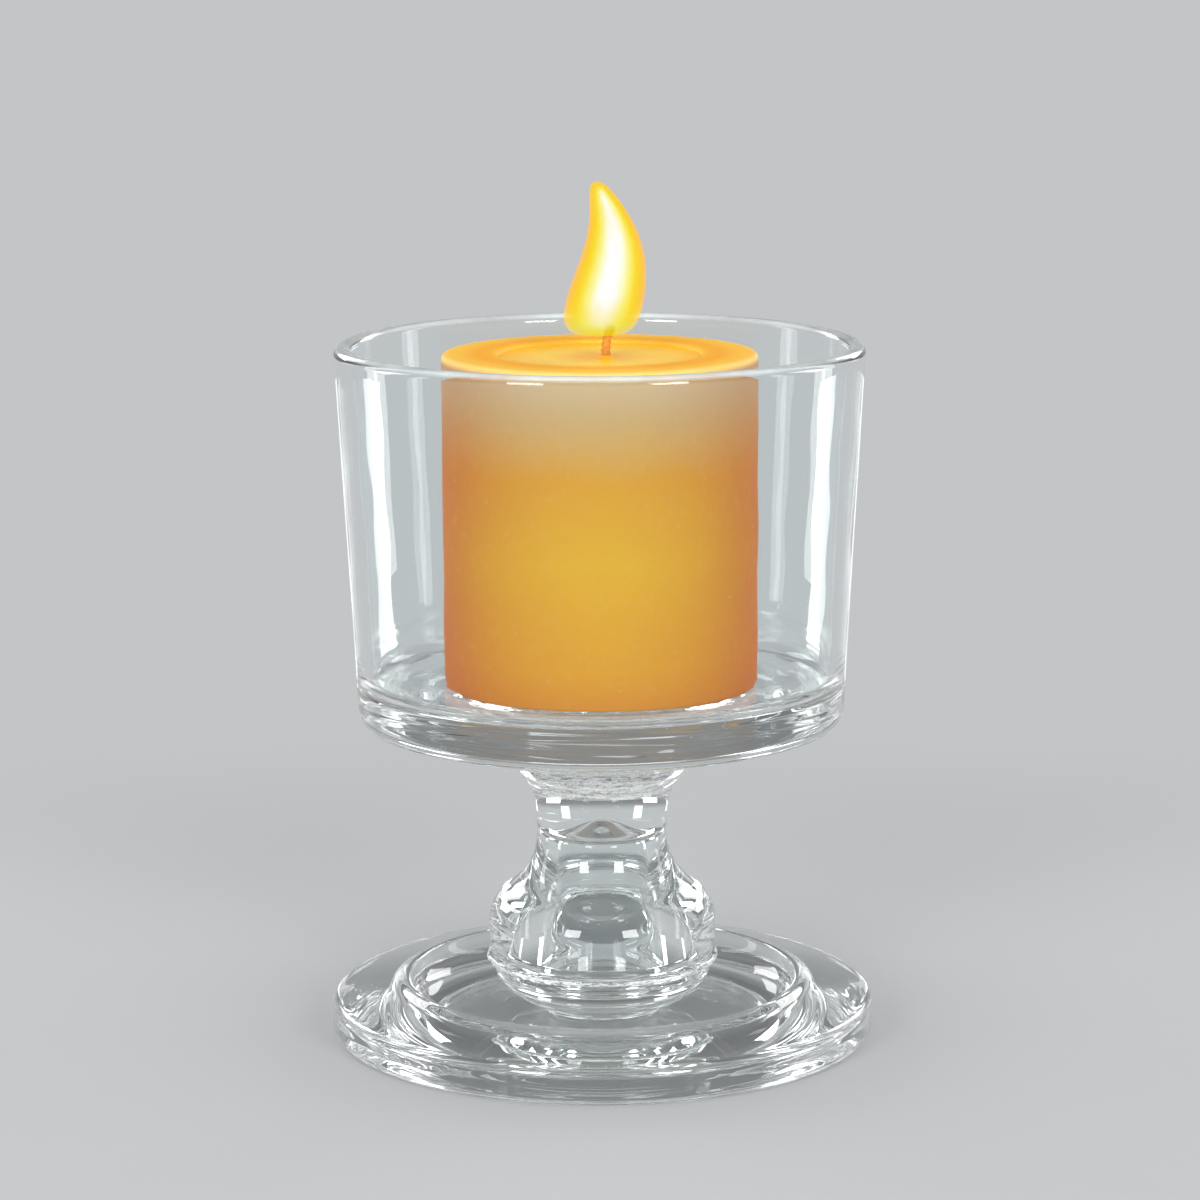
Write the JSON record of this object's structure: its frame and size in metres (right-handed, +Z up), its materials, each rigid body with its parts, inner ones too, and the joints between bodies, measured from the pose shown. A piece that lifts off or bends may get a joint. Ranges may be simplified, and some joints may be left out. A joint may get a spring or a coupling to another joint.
{
  "type": "hurricane candle holder",
  "caption": "Footed clear glass cup on a hollow bell stem and a dished round base, holding a burning pillar candle that lifts out.",
  "frame": {"origin": "centre of the base's flat underside, on the axis of the glass", "axes": "+Z up along the axis of the glass, +X to the right and +Y away from a viewer in front; the wick and flame lean towards +X"},
  "size_m": [0.133, 0.133, 0.2079],
  "materials": {
    "clear_glass": "polished",
    "fused_glass": "gloss",
    "orange_wax": "satin",
    "molten_wax": "polished",
    "wick_cotton": "matte",
    "tinned_steel": "satin",
    "flame_glow": "matte"
  },
  "bodies": {
    "holder": {"hurricane_cup": "clear_glass", "neck_weld": "fused_glass", "bell_stem": "clear_glass", "foot_weld": "fused_glass", "base_dish": "clear_glass"},
    "candle": {"pillar_wax": "orange_wax", "melt_pool": "molten_wax", "candle_wick": "wick_cotton", "wick_sustainer": "tinned_steel", "candle_flame": "flame_glow"}
  },
  "joints": [
    {"name": "candle_lift", "type": "slide", "parent": "holder", "child": "candle", "axis": [0, 0, 1], "range_m": [0, 0.1]}
  ]
}
